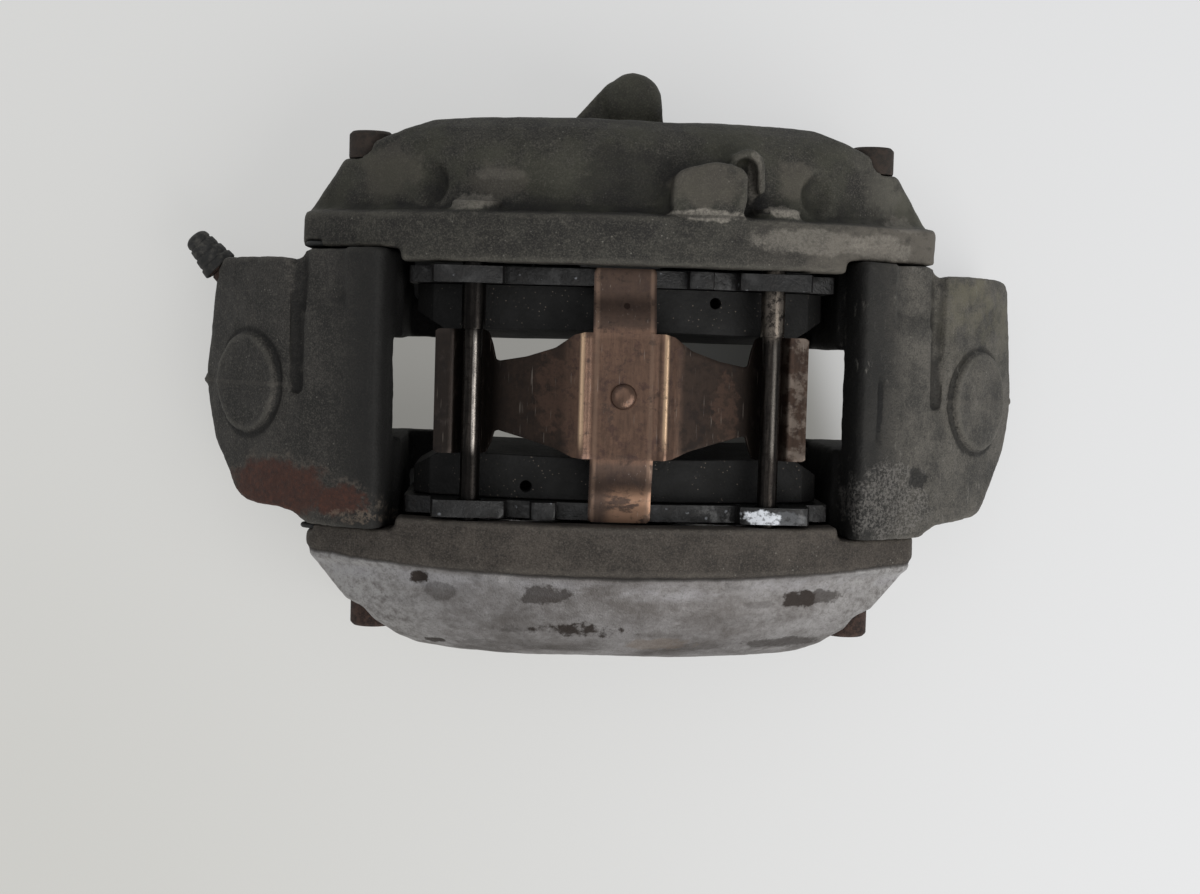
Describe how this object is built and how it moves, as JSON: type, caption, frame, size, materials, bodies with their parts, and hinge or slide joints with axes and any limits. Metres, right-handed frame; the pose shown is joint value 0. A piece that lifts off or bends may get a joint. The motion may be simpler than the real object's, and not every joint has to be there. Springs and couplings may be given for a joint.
{
  "type": "brake caliper",
  "caption": "Fixed multi-piece brake caliper: two housings joined by bridges over the disc slot, with pads, pad pins, a hold-down spring, pistons, a hose boss and a capped bleeder.",
  "frame": {"origin": "centre of the bounding box at its lowest face, midway between the two feet of the bridges", "axes": "+X along the caliper, across the disc rim towards the bridge without the bleeder; +Y along the disc axis towards the inboard housing with the hose boss; +Z radially outwards from the disc"},
  "size_m": [0.3204, 0.2144, 0.1087],
  "materials": {
    "dirty_aluminium": "cast, dirty and greasy",
    "bare_aluminium": "cast, oxidised and stained",
    "cast_iron": "cast, dirty, patches of rust",
    "rusty_steel": "rusty",
    "pin_steel": "worn bright",
    "plate_steel": "black paint, greasy",
    "lining": "pressed friction material",
    "spring_steel": "bronze-tinted, heat coloured",
    "piston_chrome": "plated",
    "rubber": "matte"
  },
  "bodies": {
    "caliper": {"inboard_housing": "dirty_aluminium", "outboard_housing": "bare_aluminium", "left_bridge": "cast_iron", "right_bridge": "cast_iron", "inboard_bolt_left_outer": "rusty_steel", "inboard_bolt_left_inner": "rusty_steel", "inboard_bolt_right_outer": "rusty_steel", "inboard_bolt_right_inner": "rusty_steel", "outboard_bolt_left_outer": "rusty_steel", "outboard_bolt_left_inner": "rusty_steel", "outboard_bolt_right_outer": "rusty_steel", "outboard_bolt_right_inner": "rusty_steel", "inboard_piston_seal_left": "rubber", "inboard_piston_seal_right": "rubber", "outboard_piston_seal_left": "rubber", "outboard_piston_seal_right": "rubber", "inboard_dust_boot_left": "rubber", "inboard_dust_boot_right": "rubber", "outboard_dust_boot_left": "rubber", "outboard_dust_boot_right": "rubber", "inboard_crossover_ring": "rubber", "outboard_crossover_ring": "rubber", "spring_leaf": "spring_steel", "spring_strip": "spring_steel", "spring_rivet": "spring_steel"},
    "inboard_pad": {"inboard_backing_plate": "plate_steel", "inboard_lining": "lining", "inboard_shim": "plate_steel"},
    "inboard_left_piston": {"inboard_piston_left": "piston_chrome"},
    "inboard_right_piston": {"inboard_piston_right": "piston_chrome"},
    "outboard_pad": {"outboard_backing_plate": "plate_steel", "outboard_lining": "lining", "outboard_shim": "plate_steel"},
    "outboard_left_piston": {"outboard_piston_left": "piston_chrome"},
    "outboard_right_piston": {"outboard_piston_right": "piston_chrome"},
    "left_pin": {"left_pad_pin": "pin_steel", "left_pin_sleeve": "pin_steel"},
    "right_pin": {"right_pad_pin": "pin_steel", "right_pin_sleeve": "pin_steel"},
    "bleeder": {"bleeder_screw": "rusty_steel"},
    "cap": {"bleeder_cap": "rubber"}
  },
  "joints": [
    {"name": "inboard_pad_slide", "type": "slide", "parent": "caliper", "child": "inboard_pad", "axis": [0, -1, 0], "range_m": [0, 0.012]},
    {"name": "inboard_left_piston_slide", "type": "slide", "parent": "caliper", "child": "inboard_left_piston", "axis": [0, -1, 0], "range_m": [0, 0.012], "deforming": ["inboard_dust_boot_left"]},
    {"name": "inboard_right_piston_slide", "type": "slide", "parent": "caliper", "child": "inboard_right_piston", "axis": [0, -1, 0], "range_m": [0, 0.012], "deforming": ["inboard_dust_boot_right"]},
    {"name": "outboard_pad_slide", "type": "slide", "parent": "caliper", "child": "outboard_pad", "axis": [0, 1, 0], "range_m": [0, 0.012]},
    {"name": "outboard_left_piston_slide", "type": "slide", "parent": "caliper", "child": "outboard_left_piston", "axis": [0, 1, 0], "range_m": [0, 0.012], "deforming": ["outboard_dust_boot_left"]},
    {"name": "outboard_right_piston_slide", "type": "slide", "parent": "caliper", "child": "outboard_right_piston", "axis": [0, 1, 0], "range_m": [0, 0.012], "deforming": ["outboard_dust_boot_right"]},
    {"name": "left_pin_slide", "type": "slide", "parent": "caliper", "child": "left_pin", "axis": [0, 1, 0], "range_m": [0, 0.127]},
    {"name": "right_pin_slide", "type": "slide", "parent": "caliper", "child": "right_pin", "axis": [0, 1, 0], "range_m": [0, 0.127]},
    {"name": "bleeder_turn", "type": "hinge", "parent": "caliper", "child": "bleeder", "pos_m": [-0.1428, 0.02615, 0.027], "axis": [-0.6652, 0.7466, 0], "range_deg": [0, 270]},
    {"name": "cap_pull", "type": "slide", "parent": "bleeder", "child": "cap", "axis": [-0.6652, 0.7466, 0], "range_m": [0, 0.03]}
  ],
  "couplings": [
    {"joint": "inboard_left_piston_slide", "follows": "inboard_pad_slide", "ratio": 1},
    {"joint": "inboard_right_piston_slide", "follows": "inboard_pad_slide", "ratio": 1},
    {"joint": "outboard_left_piston_slide", "follows": "outboard_pad_slide", "ratio": 1},
    {"joint": "outboard_right_piston_slide", "follows": "outboard_pad_slide", "ratio": 1}
  ]
}
